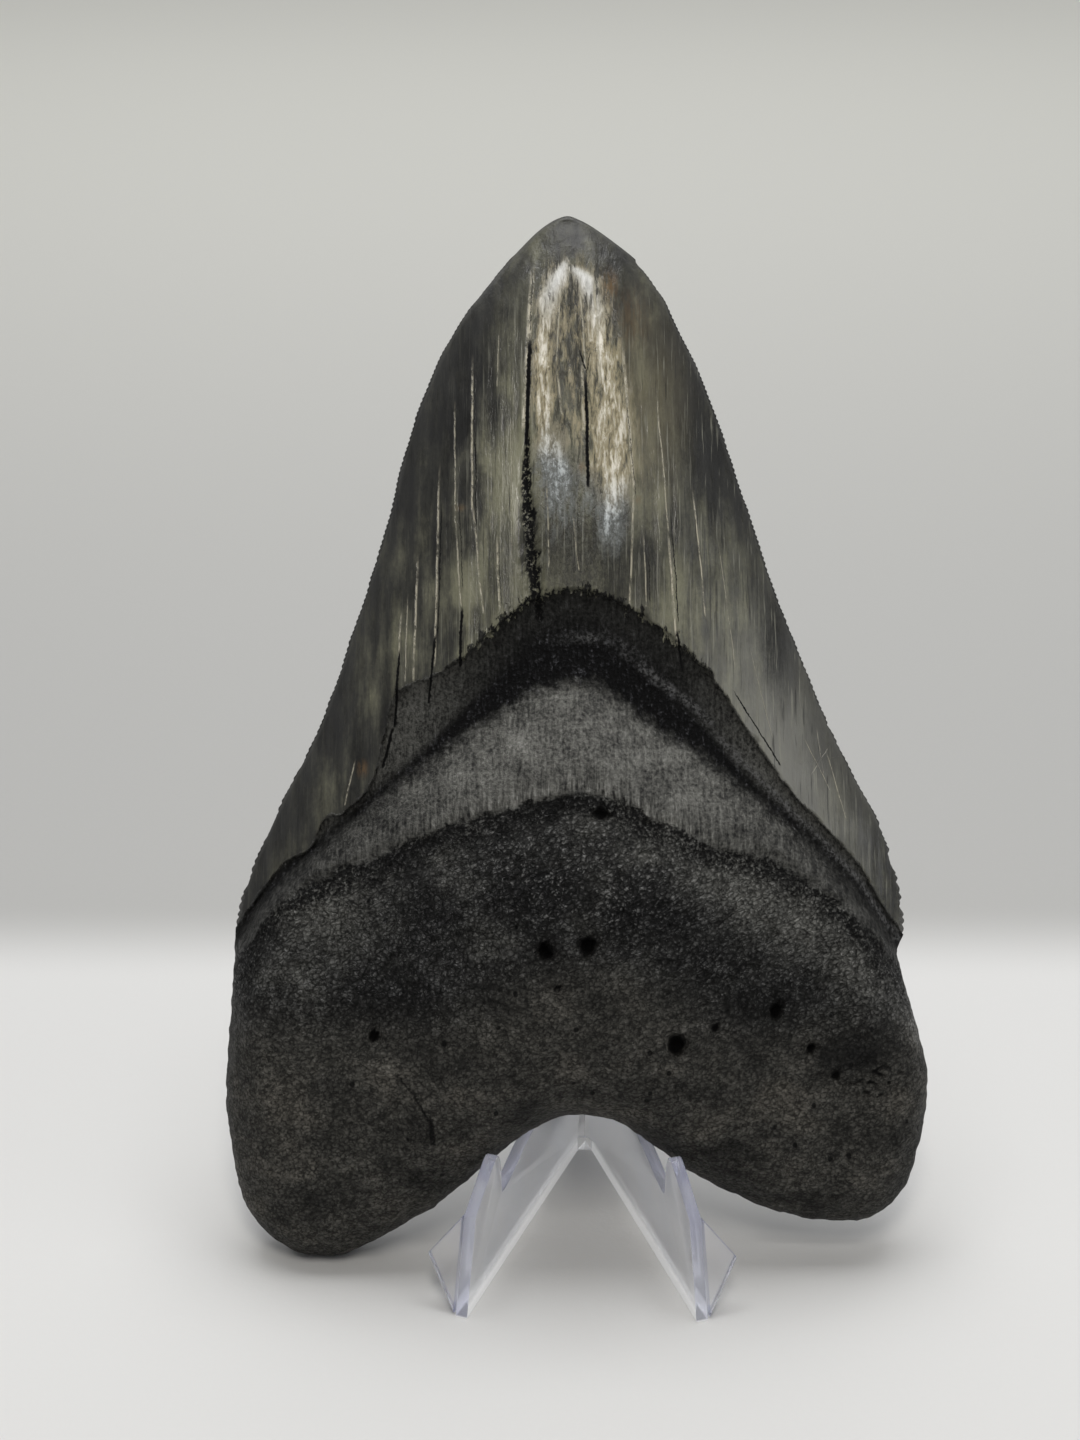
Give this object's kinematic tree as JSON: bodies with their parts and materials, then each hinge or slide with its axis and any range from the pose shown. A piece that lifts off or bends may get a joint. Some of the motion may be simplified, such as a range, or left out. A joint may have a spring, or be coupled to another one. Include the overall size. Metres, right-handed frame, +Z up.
{
  "type": "megalodon tooth",
  "caption": "Dark fossil megalodon tooth with serrated triangular crown, chevron bourlette and two-lobed root, leaning on a small clear V-shaped display stand.",
  "frame": {"origin": "on the surface the stand rests on, below the middle of the whole object's box", "axes": "+Z up, the tooth's lingual (display) face towards -Y, the tooth leaning back towards +Y, +X to the right of a viewer facing the display face"},
  "size_m": [0.101, 0.078, 0.1366],
  "materials": {
    "tooth": "dark fossil: glossy olive-grey enamel, satin near-black bourlette, pitted brown-black root",
    "stand": "clear moulded plastic with a faint violet tint at its edges"
  },
  "bodies": {
    "root": {"tooth": "tooth", "stand": "stand"}
  },
  "joints": []
}
